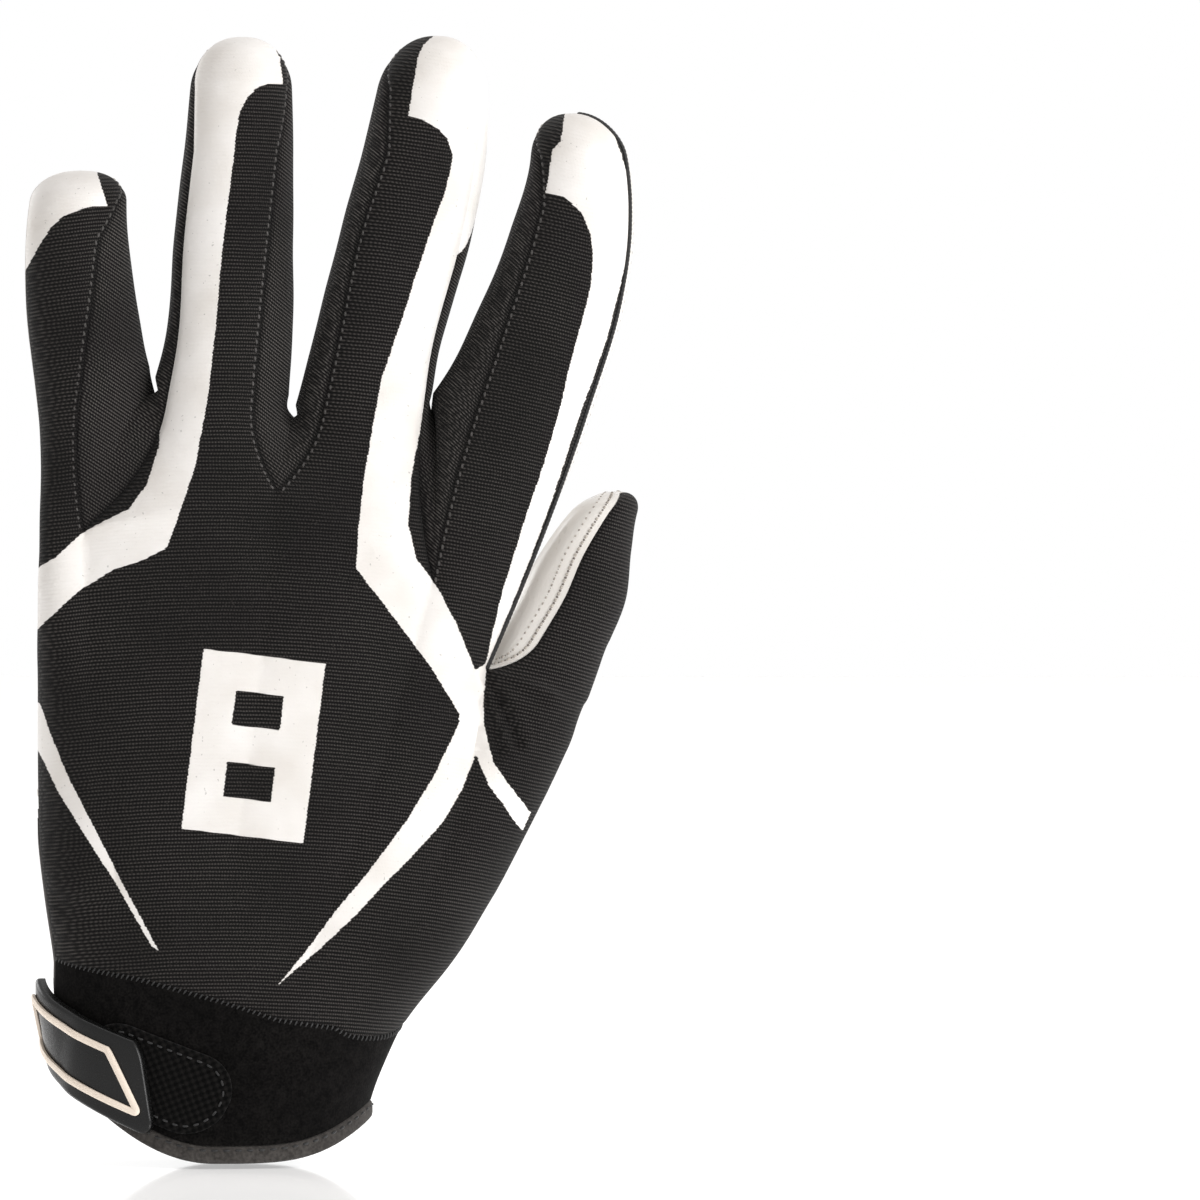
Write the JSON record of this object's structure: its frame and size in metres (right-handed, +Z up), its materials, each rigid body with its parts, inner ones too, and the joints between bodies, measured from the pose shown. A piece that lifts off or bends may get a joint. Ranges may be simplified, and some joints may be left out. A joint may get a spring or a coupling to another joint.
{
  "type": "football receiver glove",
  "caption": "Worn-form sports glove: ribbed knit back with white print, coated palm, finger gussets and a slit cuff closed by a rubber tab.",
  "frame": {"origin": "middle of the wrist opening", "axes": "+Z up along the fingers, +X to the thumb side, -Y out of the back of the hand"},
  "size_m": [0.1258, 0.0461, 0.2304],
  "materials": {
    "black_knit": "matte ribbed stretch knit with white print",
    "white_coated_leather": "glossy grip coating on white leather",
    "black_neoprene": "matte stretch foam fabric",
    "charcoal_tape": "matte woven binding tape",
    "black_loop": "matte loop pile",
    "black_rubber": "satin moulded rubber",
    "cream_rubber": "satin moulded rubber"
  },
  "bodies": {
    "root": {"back_panel": "black_knit", "palm_panel": "white_coated_leather", "gusset_little_ring": "black_knit", "gusset_ring_middle": "black_knit", "gusset_middle_index": "black_knit", "cuff": "black_neoprene", "edge_tape": "charcoal_tape", "loop_patch": "black_loop", "closure_tab": "black_rubber", "tab_outline": "cream_rubber"}
  },
  "joints": []
}
